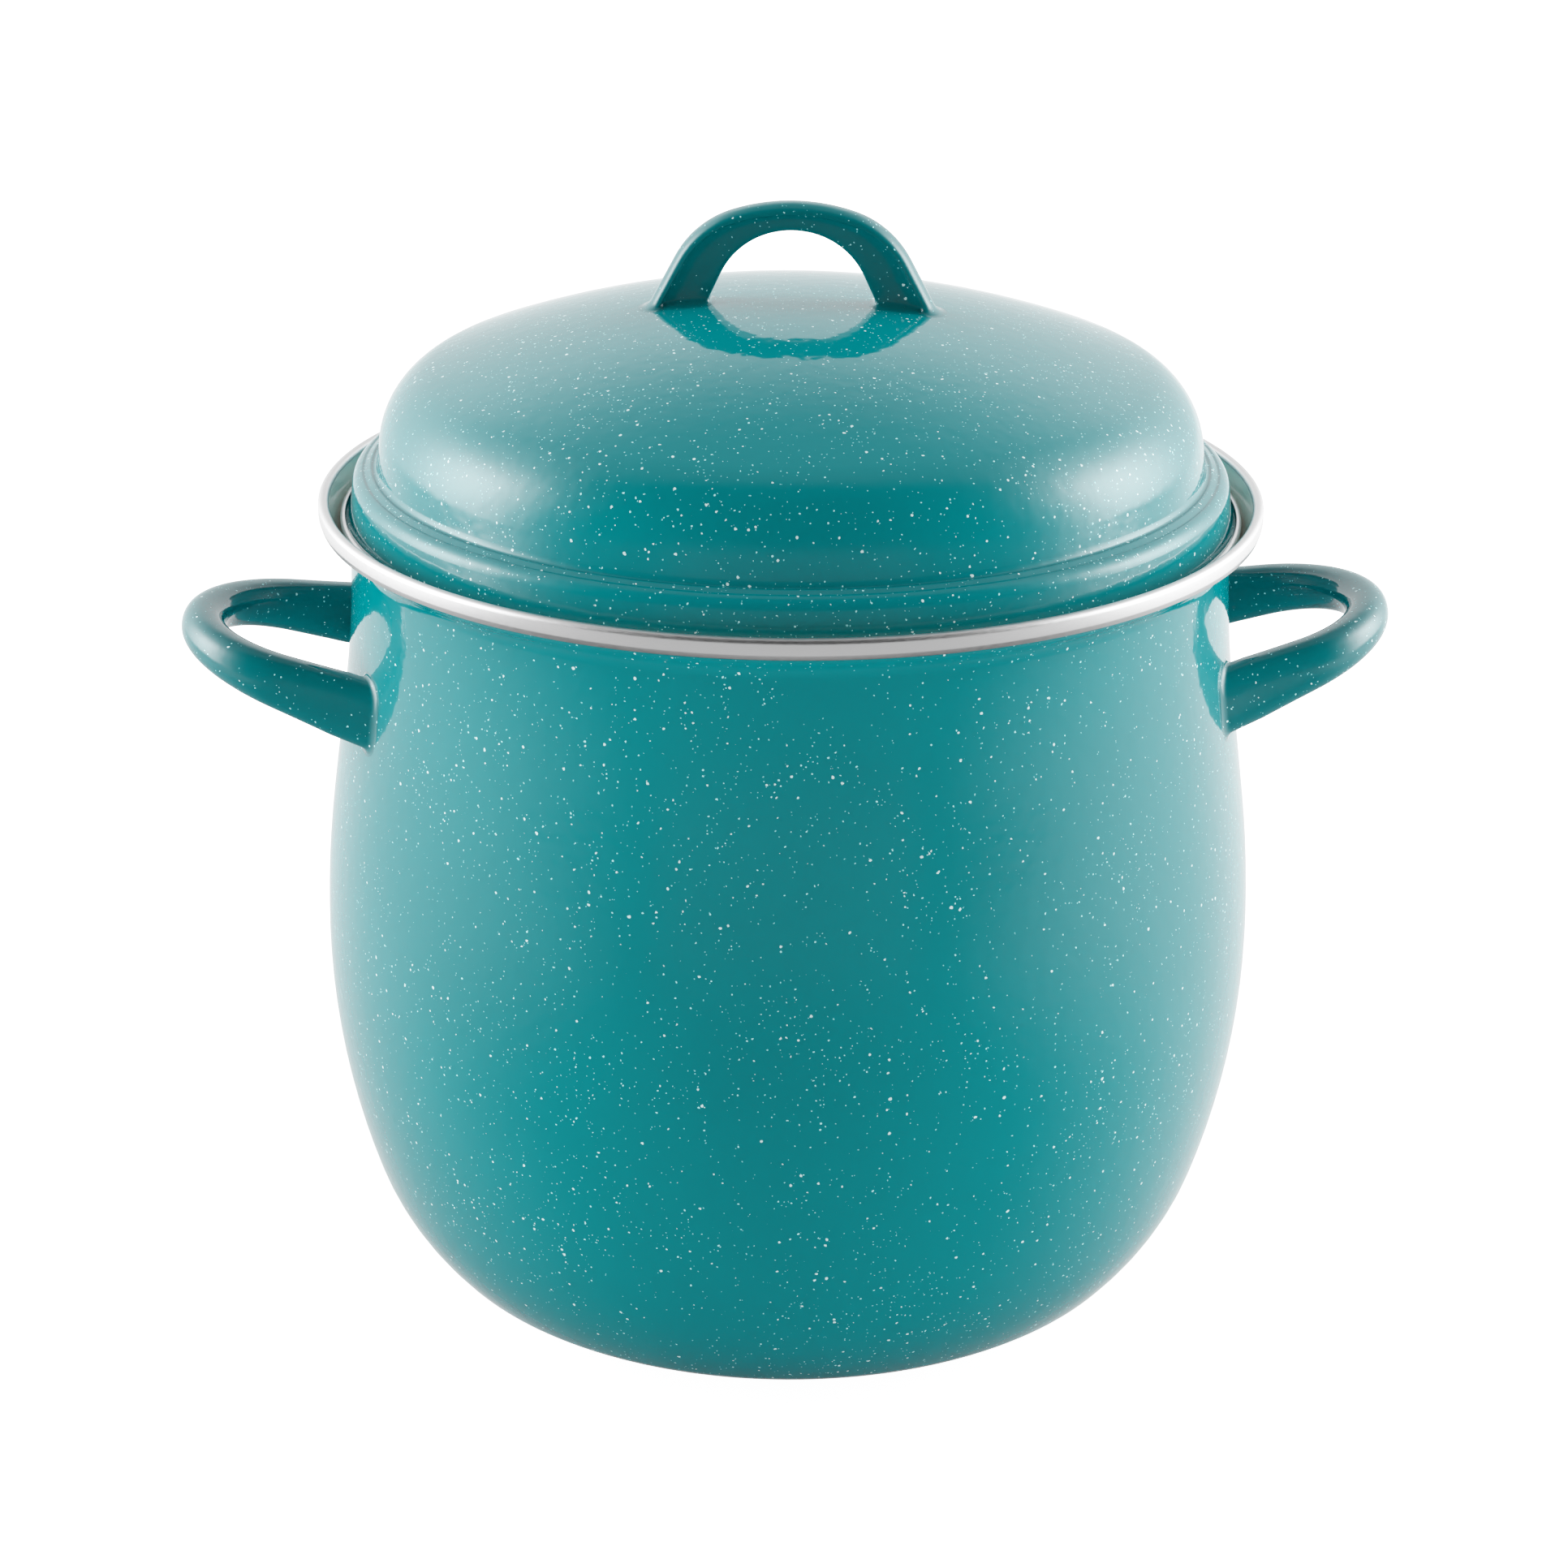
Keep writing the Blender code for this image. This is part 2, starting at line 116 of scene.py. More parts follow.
# Jar rack, wires given by their radii
THICK_WIRE = 1.75
RING_WIRE = 1.5
FLOOR_WIRE = 1.45
FLOOR_WIRE_COUNT = 7
GAP = 0.3                       # free space between neighbouring parts
FOOT_RING_RADIUS = 107.0
FLOOR_RING_Z = 16.0
DIVIDER_TOP_RADIUS = 135.4
DIVIDER_TOP = 84.0
DIVIDER_INNER_RADIUS = 43.4
DIVIDER_BEND = 5.0
DIVIDER_COUNT = 6
HINGE_X = 122.0
BAIL_HALF_WIDTH = 26.0
BAIL_LENGTH = 70.0
BAIL_CORNER = 12.0
EYE_WRAP = 260.0                # degrees of the bail's eye round the hinge bar

# Camera and light, in metres and degrees
CAMERA_PLACE = (-0.08384, -1.14869, 0.61008)
CAMERA_TURN = (68.5556, -0.406, -3.9405)
CAMERA_LENS = 86.346
CAMERA_SENSOR = 36.0
STUDIO_YAW = -3.9               # the lights face the pot from the camera's side
FRONT = (-0.07, -0.9975)        # the same direction, as seen from the pot
FILLS = (("fill_left", -62.0, 10.0), ("fill_front", 0.0, 1.5), ("fill_right", 62.0, 10.0))
FILL_SIZE = (3.0, 1.2)
FILL_PLACE = (0.0, -2.2, 0.3)
CARD_SIZE = (7.0, 2.2)
CARD_PLACE = (-0.15, -1.9, -0.5)
CARD_TILT = 115.0
CARD_ENERGY = 36.0
FLOOR_HALF = 6000.0             # millimetres, like every mesh
FLOOR_COLOR = (0.9, 0.9, 0.9, 1.0)
FLOOR_LIT = 0.4                 # what the lights alone give the floor
FLOOR_BOUNCE = 0.15
PURE_WHITE = (1.0, 1.0, 1.0, 1.0)
WHITE = 3.0                     # the scene brightness that shows as pure white
SHOULDER = ((0.12, 0.12), (0.25, 0.247), (0.5, 0.44), (0.8, 0.60), (1.3, 0.79), (2.0, 0.93))


# ---------------------------------------------------------------- meshes

def make_piece(name, verts, faces, materials, face_slots=None, sharp=40.0):
    """A smooth shaded mesh object from points in millimetres."""
    mesh = bpy.data.meshes.new(name)
    mesh.from_pydata([tuple(Vector(v) * MM) for v in verts], [], faces)
    for item in materials:
        mesh.materials.append(item)
    if face_slots is not None:
        mesh.polygons.foreach_set("material_index", face_slots)
    mesh.update()
    mesh.shade_smooth()
    mesh.set_sharp_from_angle(angle=math.radians(sharp))
    obj = bpy.data.objects.new(name, mesh)
    bpy.context.scene.collection.objects.link(obj)
    return obj


def trace(start, heading, moves, step=4.0):
    """Points (r, z, heading) along lines (length,) and arcs (radius, turn in degrees)."""
    r, z = start
    angle = math.radians(heading)
    path = [(r, z, angle)]
    for move in moves:
        if len(move) == 1:
            count = max(1, math.ceil(move[0] / 12.0))
            for _ in range(count):
                r += move[0] / count * math.cos(angle)
                z += move[0] / count * math.sin(angle)
                path.append((r, z, angle))
            continue
        radius, turn = move
        bend = math.copysign(radius, turn)
        centre_r = r - bend * math.sin(angle)
        centre_z = z + bend * math.cos(angle)
        arc_length = radius * math.radians(abs(turn))
        count = max(3, math.ceil(abs(turn) / step), math.ceil(arc_length / 8.0))
        for _ in range(count):
            angle += math.radians(turn) / count
            r = centre_r + bend * math.sin(angle)
            z = centre_z - bend * math.cos(angle)
            path.append((r, z, angle))
    return path


def offset(path, distance):
    """The path moved sideways to its left."""
    moved = []
    for r, z, angle in path:
        moved.append((max(r - distance * math.sin(angle), 0.0), z + distance * math.cos(angle)))
    return moved


def lathe(name, outline, materials, closed=False, slots=None, segments=SEGMENTS, flip=False):
    """The outline turned about Z. slots gives the material of each step of the outline."""
    verts = []
    rings = []
    for r, z in outline:
        if r < 1e-6:
            rings.append([len(verts)] * segments)
            verts.append((0.0, 0.0, z))
            continue
        first = len(verts)
        for i in range(segments):
            angle = math.tau * i / segments
            verts.append((r * math.cos(angle), r * math.sin(angle), z))
        rings.append(list(range(first, first + segments)))
    faces = []
    face_slots = []
    last = len(rings) if closed else len(rings) - 1
    for i in range(last):
        low, high = rings[i], rings[(i + 1) % len(rings)]
        for j in range(segments):
            k = (j + 1) % segments
            face = list(dict.fromkeys((low[j], low[k], high[k], high[j])))
            if len(face) > 2:
                faces.append(face[::-1] if flip else face)
                face_slots.append(slots[i] if slots else 0)
    return make_piece(name, verts, faces, materials, face_slots)


def skin(name, rings, materials, closed=False):
    """A body through matching rings of points, capped unless it runs in a loop."""
    count = len(rings[0])
    verts = [p for ring in rings for p in ring]
    faces = []
    for i in range(len(rings) if closed else len(rings) - 1):
        low = i * count
        high = (i + 1) % len(rings) * count
        for j in range(count):
            k = (j + 1) % count
            faces.append((low + j, low + k, high + k, high + j))
    if not closed:
        faces.append(tuple(range(count))[::-1])
        faces.append(tuple(range(len(verts) - count, len(verts))))
    return make_piece(name, verts, faces, materials)


# ---------------------------------------------------------------- nodes

class Nodes:
    """Short ways to build a node tree."""

    def __init__(self, tree):
        self.tree = tree
        self.tree.nodes.clear()

    def add(self, kind, inputs=None, **settings):
        node = self.tree.nodes.new(kind)
        for key, value in settings.items():
            setattr(node, key, value)
        for key, value in (inputs or {}).items():
            self.put(node.inputs[key], value)
        return node

    def put(self, socket, value):
        if isinstance(value, bpy.types.NodeSocket):
            self.tree.links.new(value, socket)
        else:
            socket.default_value = value

    def math(self, operation, *values, clamp=False):
        node = self.add("ShaderNodeMath", operation=operation, use_clamp=clamp)
        for socket, value in zip(node.inputs, values):
            self.put(socket, value)
        return node.outputs[0]

    def ramp(self, value, low, high, out_low=0.0, out_high=1.0, kind="SMOOTHSTEP"):
        node = self.add("ShaderNodeMapRange", interpolation_type=kind)
        for socket, item in zip(node.inputs, (value, low, high, out_low, out_high)):
            self.put(socket, item)
        return node.outputs[0]

    def mix(self, factor, a, b):
        node = self.add("ShaderNodeMix", data_type="RGBA")
        self.put(node.inputs["Factor"], factor)
        self.put(node.inputs["A"], a if isinstance(a, bpy.types.NodeSocket) else (*a, 1.0))
        self.put(node.inputs["B"], b if isinstance(b, bpy.types.NodeSocket) else (*b, 1.0))
        return node.outputs["Result"]


def new_material(name):
    made = bpy.data.materials.new(name)
    made.use_nodes = True
    return made, Nodes(made.node_tree)


def specks(n, place, scale, share, low, high, seed):
    """A mask of round specks: share of the cells hold one, of radius low to high of a cell."""
    shift = (seed, seed * 1.7, seed * 0.6)
    moved = n.add("ShaderNodeVectorMath", {0: place, 1: shift}, operation="ADD")
    cells = n.add(
        "ShaderNodeTexVoronoi", {"Vector": moved.outputs[0], "Scale": scale, "Randomness": 1.0},
        feature="F1",
    )
    parts = n.add("ShaderNodeSeparateColor", {0: cells.outputs["Color"]})
    size = n.ramp(parts.outputs[0], 0.0, 1.0, low, high, "LINEAR")
    soft = n.math("MULTIPLY", size, 0.88)
    spot = n.ramp(cells.outputs["Distance"], size, soft)
    held = n.math("LESS_THAN", parts.outputs[1], share)
    return n.math("MULTIPLY", spot, held)


def speckled_enamel(name, light, crowding):
    """Glossy teal porcelain enamel with fine white specks; light and crowding are near 1, and a
    light below 1 darkens the glaze as painted shade.
    """
    made, n = new_material(name)
    place = n.add("ShaderNodeTexCoord").outputs["Object"]
    wobble = n.add("ShaderNodeTexNoise", {"Vector": place, "Scale": 900.0, "Detail": 2.0})
    ragged = n.add(
        "ShaderNodeVectorMath", {0: wobble.outputs["Color"], 1: (0.0009, 0.0009, 0.0009)},
        operation="MULTIPLY",
    )
    frayed = n.add("ShaderNodeVectorMath", {0: place, 1: ragged.outputs[0]}, operation="ADD")
    moved = frayed.outputs[0]
    patches = n.add("ShaderNodeTexNoise", {"Vector": place, "Scale": 26.0, "Detail": 2.0})
    crowd = n.ramp(patches.outputs["Fac"], 0.35, 0.65, 0.45 * crowding, crowding)
    big = specks(n, moved, 340.0, n.math("MULTIPLY", crowd, 0.48), 0.09, 0.18, 0.0)
    middle = specks(n, moved, 500.0, n.math("MULTIPLY", crowd, 0.54), 0.09, 0.175, 0.31)
    small = specks(n, moved, 640.0, n.math("MULTIPLY", crowd, 0.85), 0.09, 0.16, 0.57)
    cloud = n.add("ShaderNodeTexNoise", {"Vector": place, "Scale": 9.0, "Detail": 3.0})
    # A light below 1 darkens both glaze colours: painted shade.
    deep = (0.0, 0.192 * light, 0.213 * light)
    pale = (0.0, 0.210 * light, 0.233 * light)
    glaze = n.mix(n.ramp(cloud.outputs["Fac"], 0.3, 0.7), deep, pale)
    color = n.mix(small, glaze, (0.26, 0.76, 0.80))
    color = n.mix(middle, color, (0.46, 0.98, 1.0))
    color = n.mix(big, color, (0.72, 1.0, 1.0))
    peel = n.add("ShaderNodeTexNoise", {"Vector": place, "Scale": 190.0, "Detail": 1.0})
    bump = n.add(
        "ShaderNodeBump", {"Strength": 0.13, "Distance": 0.0006, "Height": peel.outputs["Fac"]}
    )
    shader = n.add("ShaderNodeBsdfPrincipled", {
        "Base Color": color, "Roughness": 0.05, "IOR": 1.5, "Normal": bump.outputs[0],
    })
    n.add("ShaderNodeOutputMaterial", {"Surface": shader.outputs[0]})
    return made


def cream_enamel(name):
    """Glossy cream enamel, as inside the pot and lid."""
    made, n = new_material(name)
    place = n.add("ShaderNodeTexCoord").outputs["Object"]
    cloud = n.add("ShaderNodeTexNoise", {"Vector": place, "Scale": 12.0, "Detail": 3.0})
    color = n.mix(n.ramp(cloud.outputs["Fac"], 0.3, 0.7), (0.78, 0.78, 0.67), (0.83, 0.83, 0.73))
    peel = n.add("ShaderNodeTexNoise", {"Vector": place, "Scale": 110.0, "Detail": 2.0})
    bump = n.add(
        "ShaderNodeBump", {"Strength": 0.05, "Distance": 0.0006, "Height": peel.outputs["Fac"]}
    )
    shader = n.add("ShaderNodeBsdfPrincipled", {
        "Base Color": color, "Roughness": 0.14, "IOR": 1.5, "Normal": bump.outputs[0],
    })
    n.add("ShaderNodeOutputMaterial", {"Surface": shader.outputs[0]})
    return made


def rolled_steel(name):
    """Stainless strip with faint rolling lines that run round the pot."""
    made, n = new_material(name)
    place = n.add("ShaderNodeTexCoord").outputs["Object"]
    parts = n.add("ShaderNodeSeparateXYZ", {0: place})
    radius = n.add("ShaderNodeVectorMath", {0: place, 1: (1.0, 1.0, 0.0)}, operation="MULTIPLY")
    reach = n.add("ShaderNodeVectorMath", {0: radius.outputs[0]}, operation="LENGTH")
    turn = n.math("ARCTAN2", parts.outputs[1], parts.outputs[0])
    lines = n.add("ShaderNodeCombineXYZ", {
        0: n.math("MULTIPLY", turn, 0.02), 1: reach.outputs["Value"], 2: parts.outputs[2],
    })
    grain = n.add(
        "ShaderNodeTexNoise", {"Vector": lines.outputs[0], "Scale": 4000.0, "Detail": 2.0}
    )
    color = n.mix(grain.outputs["Fac"], (0.62, 0.62, 0.625), (0.72, 0.72, 0.72))
    rough = n.ramp(grain.outputs["Fac"], 0.3, 0.7, 0.34, 0.44)
    bump = n.add(
        "ShaderNodeBump", {"Strength": 0.12, "Distance": 0.00005, "Height": grain.outputs["Fac"]}
    )
    shader = n.add("ShaderNodeBsdfPrincipled", {
        "Base Color": color, "Metallic": 1.0, "Roughness": rough, "Normal": bump.outputs[0],
    })
    n.add("ShaderNodeOutputMaterial", {"Surface": shader.outputs[0]})
    return made


def plated_wire(name):
    """Bright chrome plating with faint drawing marks and dull spots."""
    made, n = new_material(name)
    place = n.add("ShaderNodeTexCoord").outputs["Object"]
    cloud = n.add("ShaderNodeTexNoise", {"Vector": place, "Scale": 60.0, "Detail": 4.0})
    color = n.mix(cloud.outputs["Fac"], (0.58, 0.59, 0.61), (0.70, 0.70, 0.71))
    rough = n.ramp(cloud.outputs["Fac"], 0.3, 0.7, 0.08, 0.2)
    grain = n.add("ShaderNodeTexNoise", {"Vector": place, "Scale": 2500.0, "Detail": 2.0})
    bump = n.add(
        "ShaderNodeBump", {"Strength": 0.08, "Distance": 0.00005, "Height": grain.outputs["Fac"]}
    )
    shader = n.add("ShaderNodeBsdfPrincipled", {
        "Base Color": color, "Metallic": 1.0, "Roughness": rough, "Normal": bump.outputs[0],
    })
    n.add("ShaderNodeOutputMaterial", {"Surface": shader.outputs[0]})
    return made


TEAL = speckled_enamel("speckled_teal_enamel", 1.0, 0.9)
LID_TEAL = speckled_enamel("lid_teal_enamel", 1.0, 1.3)
# The handles and lid grip get the same enamel darkened to 0.74 as painted shade, for the dim
# light on their front and lower faces.
SHADED_HANDLE_TEAL = speckled_enamel("handle_teal_enamel_painted_shade", 0.74, 0.8)
CREAM = cream_enamel("cream_enamel")
STEEL = rolled_steel("rolled_stainless_steel")
CHROME = plated_wire("chrome_plated_wire")


def finish_piece(obj, body, slot, *nodes):
    """The piece's CAD body and the CAD nodes that it stands for; slot is not used."""
    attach(obj, body)
    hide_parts(*nodes)


# ---------------------------------------------------------------- pot

def pot_path():
    """The pot's outer face from the middle of the base to the top of the lip."""
    press = math.radians(BASE_PRESS)
    step_radius = BASE_RECESS / (2 * (1 - math.cos(press)))
    flat = BASE_FLAT_RADIUS - RECESS_RADIUS - 2 * step_radius * math.sin(press)
    return trace((0.0, BASE_RECESS), 0.0, [
        (RECESS_RADIUS,), (step_radius, -BASE_PRESS), (step_radius, BASE_PRESS), (flat,),
        (15.8, 48.0), (85.8, 23.8), (249.0, 18.2), (351.0, 7.7), (36.9,),
        (352.0, -7.7), (6.0, -52.0), (2.35,), (5.0, 22.0), (6.10,), (2.0, 30.0), (0.8,),
    ])


def pot_shell():
    path = pot_path()
    outer = offset(path, 0.0)
    inner = offset(path, WALL)[::-1]
    slots = [0] * len(outer) + [1] * (len(inner) - 1)
    obj = lathe("pot_body", outer + inner, [TEAL, CREAM], slots=slots)
    finish_piece(obj, "pot", "teal_enamel", "pot_shell")


def rounded(points, radii, steps=5):
    """An outline through corner points, each rounded with its own radius."""
    made = []
    for i, radius in enumerate(radii):
        corner = Vector(points[i])
        before = (Vector(points[i - 1]) - corner).normalized()
        after = (Vector(points[(i + 1) % len(points)]) - corner).normalized()
        half = before.angle(after) / 2
        reach = radius / math.tan(half)
        centre = corner + (before + after).normalized() * radius / math.sin(half)
        a = corner + before * reach - centre
        b = corner + after * reach - centre
        turn = math.atan2(a.x * b.y - a.y * b.x, a.dot(b))
        start = math.atan2(a.y, a.x)
        for k in range(steps + 1):
            angle = start + turn * k / steps
            x, y = radius * math.cos(angle), radius * math.sin(angle)
            made.append((centre.x + x, centre.y + y))
    return made


def pot_rim_band():
    """The strip folded over the lip: domed on top, curled in at its lower edge."""
    outer = POT_BAND_RADIUS
    inner = outer - POT_BAND_WIDTH
    top = POT_HEIGHT
    bottom = top - POT_BAND_HEIGHT
    curl = bottom + POT_BAND_CURL
    edge = outer - POT_BAND_TUCK
    leg = top - POT_BAND_INNER_LEG
    outline = rounded(
        [(edge, bottom), (outer, curl), (outer, top), (inner, top), (inner, leg),
         (inner + BAND_STOCK, leg), (inner + BAND_STOCK, top - BAND_STOCK),
         (outer - BAND_STOCK, top - BAND_STOCK), (outer - BAND_STOCK, curl),
         (edge - BAND_STOCK, bottom)],
        [0.25, 1.6, 1.5, 1.5, 0.2, 0.2, 0.9, 0.9, 0.8, 0.2],
    )
    obj = lathe("pot_rim", outline, [STEEL], closed=True, segments=BAND_SEGMENTS)
    finish_piece(obj, "pot", "stainless_band", "pot_rim_band")


def wall_radius(z):
    """Radius of the pot's outer face at this height on its side."""
    side = [p for p in pot_path() if p[1] > WALL_FROM]
    return float(np.interp(z, [p[1] for p in side], [p[0] for p in side]))


# ---------------------------------------------------------------- handles

def superellipse(half_a, half_b, power, count):
    """Points round a rounded rectangle; a power of 2 makes an ellipse."""
    points = []
    for i in range(count):
        angle = math.tau * (i + 0.5) / count
        c, s = math.cos(angle), math.sin(angle)
        points.append((
            half_a * math.copysign(abs(c) ** (2 / power), c),
            half_b * math.copysign(abs(s) ** (2 / power), s),
        ))
    return points


def side_plan():
    """Points (x, y) along the plan of a side handle, from deep in one foot to the other."""
    centre = SIDE_TIP - SIDE_TIP_ARC
    foot = Vector(SIDE_FOOT)
    to_foot = Vector((foot.x - centre, foot.y))
    start = math.atan2(to_foot.y, to_foot.x) - math.acos(SIDE_TIP_ARC / to_foot.length)
    tangent = Vector((centre + SIDE_TIP_ARC * math.cos(start), SIDE_TIP_ARC * math.sin(start)))
    along = (tangent - foot).normalized()
    leg = [foot - along * sunk for sunk in SIDE_SUNK]
    leg += [foot.lerp(tangent, i / 14) for i in range(14)]
    arc = []
    for i in range(41):
        angle = start * (1 - i / 20)
        swing = Vector((math.cos(angle), math.sin(angle))) * SIDE_TIP_ARC
        arc.append(Vector((centre + swing.x, swing.y)))
    return leg + arc + [Vector((p.x, -p.y)) for p in reversed(leg)]


def side_sections(count=40):
    """Rings of points along a side handle: tall at its feet, round at its tip."""
    plan = side_plan()
    tilt = math.radians(SIDE_TILT)
    out = Vector((math.cos(tilt), 0.0, math.sin(tilt)))
    up = Vector((-math.sin(tilt), 0.0, math.cos(tilt)))
    across = Vector((0.0, 1.0, 0.0))
    foot = Vector((SIDE_FOOT[0], 0.0, SIDE_FOOT_Z))
    rings = []
    for i, point in enumerate(plan):
        before, after = plan[max(i - 1, 0)], plan[min(i + 1, len(plan) - 1)]
        heading = (after - before).normalized()
        side = -heading.y * out + heading.x * across
        reach = min(max((point.x - SIDE_FOOT[0]) / (SIDE_TIP - SIDE_FOOT[0]), 0.0), 1.0)
        blend = reach ** 0.8
        thick = SIDE_FOOT_SIZE[0] + blend * (SIDE_TIP_SIZE[0] - SIDE_FOOT_SIZE[0])
        tall = SIDE_FOOT_SIZE[1] + blend * (SIDE_TIP_SIZE[1] - SIDE_FOOT_SIZE[1])
        power = 3.0 - 0.8 * blend
        middle = foot + out * ((point.x - SIDE_FOOT[0]) / math.cos(tilt)) + across * point.y
        section = superellipse(thick, tall, power, count)
        rings.append([middle + side * a + up * b for a, b in section])
    return rings


def land(inside, outside, gap):
    """Where the line between two points meets a surface; gap(point) is positive outside it."""
    low, high = 0.0, 1.0
    for _ in range(30):
        middle = (low + high) / 2
        if gap(inside.lerp(outside, middle)) > 0:
            high = middle
        else:
            low = middle
    return inside.lerp(outside, high)


def root(ring_in, ring_out, gap, normal_of, size, sunk=0.35, steps=6):
    """Rings of a weld fillet from just under the wall up to a handle's leg."""
    contact = [land(a, b, gap) for a, b in zip(ring_in, ring_out)]
    middle = sum(contact, Vector()) / len(contact)
    count = len(contact)
    rings = []
    for k in range(steps + 1):
        angle = math.pi / 2 * (1 - k / steps)
        wide = size * (1 - math.cos(angle))
        high = size * (1 - math.sin(angle))
        ring = []
        for i, point in enumerate(contact):
            along = (ring_out[i] - ring_in[i]).normalized()
            tangent = contact[(i + 1) % count] - contact[i - 1]
            spread = tangent.cross(normal_of(point)).normalized()
            if spread.dot(point - middle) < 0:
                spread = -spread
            ring.append(point + spread * wide + along * high)
        rings.append(ring)
    base = [point - normal_of(point) * sunk for point in rings[0]]
    return [base] + rings


def rooted(rings, gap, normal_of, size, clear):
    """The rings with a fillet in place of each end, from where they clear the wall."""
    first = next(i for i, ring in enumerate(rings) if all(gap(p) > clear for p in ring))
    start = root(rings[0], rings[first], gap, normal_of, size)
    end = root(rings[-1], rings[-1 - first], gap, normal_of, size)
    return start + rings[first:len(rings) - first] + end[::-1]


def side_handle(name, direction, node):
    def gap(point):
        return math.hypot(point.x, point.y) - wall_radius(point.z)

    def normal_of(point):
        slope = (wall_radius(point.z + 1.0) - wall_radius(point.z - 1.0)) / 2.0
        flat = Vector((point.x, point.y, 0.0)).normalized()
        return (flat - Vector((0.0, 0.0, slope))).normalized()

    body = rooted(side_sections(), gap, normal_of, SIDE_FILLET, SIDE_CLEAR)
    turn = Matrix.Rotation(0.0 if direction > 0 else math.pi, 3, "Z")
    obj = skin(name, [[turn @ p for p in ring] for ring in body], [SHADED_HANDLE_TEAL])
    finish_piece(obj, "pot", "teal_enamel", node)


# ---------------------------------------------------------------- lid

def lid_path():
    """The lid's outer face from the middle of the crown out and down to the flange."""
    return trace((0.0, LID_TOP), 0.0, [
        (CROWN_RADIUS, -CROWN_ANGLE), (27.3, CROWN_ANGLE - 84.0), (6.039,), (4.0, 24.0),
        (1.0, 74.0), (0.2,), (1.1, -44.0), (1.474,),    # narrow crease and ledge
        (0.9, 42.0), (1.1, -34.0), (4.75, -62.0),       # narrow crease and roll
        (9.2,), (2.0, 84.0), (0.2,),
    ], step=6.0)


def lid_shell():
    path = lid_path()
    outer = offset(path, 0.0)
    inner = offset(path, -WALL)[::-1]
    slots = [0] * len(outer) + [1] * (len(inner) - 1)
    obj = lathe("lid_dome", outer + inner, [LID_TEAL, CREAM], slots=slots, flip=True)
    finish_piece(obj, "lid", "teal_enamel", "lid_shell")


def lid_rim_band():
    """The strip folded round the edge of the flange, open towards the pot's axis."""
    outer, low, high = LID_BAND_RADIUS, LID_BAND_LOW, LID_BAND_HIGH
    inner = outer - LID_BAND_DEPTH
    stock = BAND_STOCK
    outline = rounded(
        [(inner, low), (outer, low), (outer, high), (inner, high), (inner, high - stock),
         (outer - stock, high - stock), (outer - stock, low + stock), (inner, low + stock)],
        [0.2, 1.2, 1.2, 0.2, 0.2, 0.6, 0.6, 0.2],
    )
    obj = lathe("lid_rim", outline, [STEEL], closed=True, segments=BAND_SEGMENTS)
    finish_piece(obj, "lid", "stainless_band", "lid_rim_band")


def crown_height(r):
    """Height of the lid's crown at this radius."""
    return LID_TOP - CROWN_RADIUS + math.sqrt(CROWN_RADIUS ** 2 - r ** 2)


def bow_section(half_thickness, half_depth, crown):
    """A flat web with a rounded roll along its outer edge, as (outward, depth) pairs."""
    soft = BOW_SOFT
    web = half_depth - BOW_WEB_STEP
    points = []
    for k in range(5):
        angle = math.pi / 2 * k / 4
        points.append((
            -half_thickness + soft - soft * math.cos(angle), web - soft + soft * math.sin(angle),
        ))
    shoulder = half_thickness - crown
    start = points[-1][0]
    step = BOW_WEB_RAMP
    for k in range(1, 4):
        points.append((start + (shoulder - step - start) * k / 3, web))
    for k in range(1, 5):
        ease = k / 4 * k / 4 * (3 - 2 * k / 4)
        points.append((shoulder - step + step * k / 4, web + (half_depth - web) * ease))
    for k in range(1, 9):
        angle = math.pi / 2 * k / 8
        points.append((shoulder + crown * math.sin(angle), half_depth * math.cos(angle)))
    mirrored = [(outward, -depth) for outward, depth in reversed(points[:-1])]
    return points + mirrored


def resample(path, count):
    """Points (x, z) spaced evenly along a traced path."""
    points = [Vector((p[0], p[1])) for p in path]
    lengths = [0.0]
    for a, b in zip(points, points[1:]):
        lengths.append(lengths[-1] + (b - a).length)
    spots = np.linspace(0, lengths[-1], count)
    xs = np.interp(spots, lengths, [p.x for p in points])
    zs = np.interp(spots, lengths, [p.y for p in points])
    return list(zip(xs, zs))


def lid_handle(count=34):
    outer = trace((0.0, BOW_TOP), 0.0, [(62.0, -18.0), (31.0, -44.0), (12.5,), (12.5,)])
    inner = trace((0.0, BOW_ARCH), 0.0, [(26.0, -18.0), (24.0, -47.0), (12.0,), (12.0,)])
    outer, inner = resample(outer, count), resample(inner, count)
    turn = Matrix.Rotation(math.radians(BOW_YAW), 3, "Z")
    order = [(i, -1) for i in range(count - 1, 0, -1)] + [(i, 1) for i in range(count)]
    rings = []
    for i, way in order:
        edge = Vector((way * outer[i][0], 0.0, outer[i][1]))
        arch = Vector((way * inner[i][0], 0.0, inner[i][1]))
        middle = (edge + arch) / 2
        out = (edge - arch).normalized()
        section = bow_section((edge - arch).length / 2, BOW_HALF_DEPTH, BOW_CROWN)
        rings.append([turn @ (middle + out * a + Vector((0.0, b, 0.0))) for a, b in section])

    def gap(point):
        return point.z - crown_height(math.hypot(point.x, point.y))

    def normal_of(point):
        return (point - Vector((0.0, 0.0, LID_TOP - CROWN_RADIUS))).normalized()

    obj = skin("lid_grip", rooted(rings, gap, normal_of, BOW_FILLET, BOW_CLEAR), [SHADED_HANDLE_TEAL])
    finish_piece(obj, "lid", "teal_enamel", "lid_handle")


# ---------------------------------------------------------------- jar rack

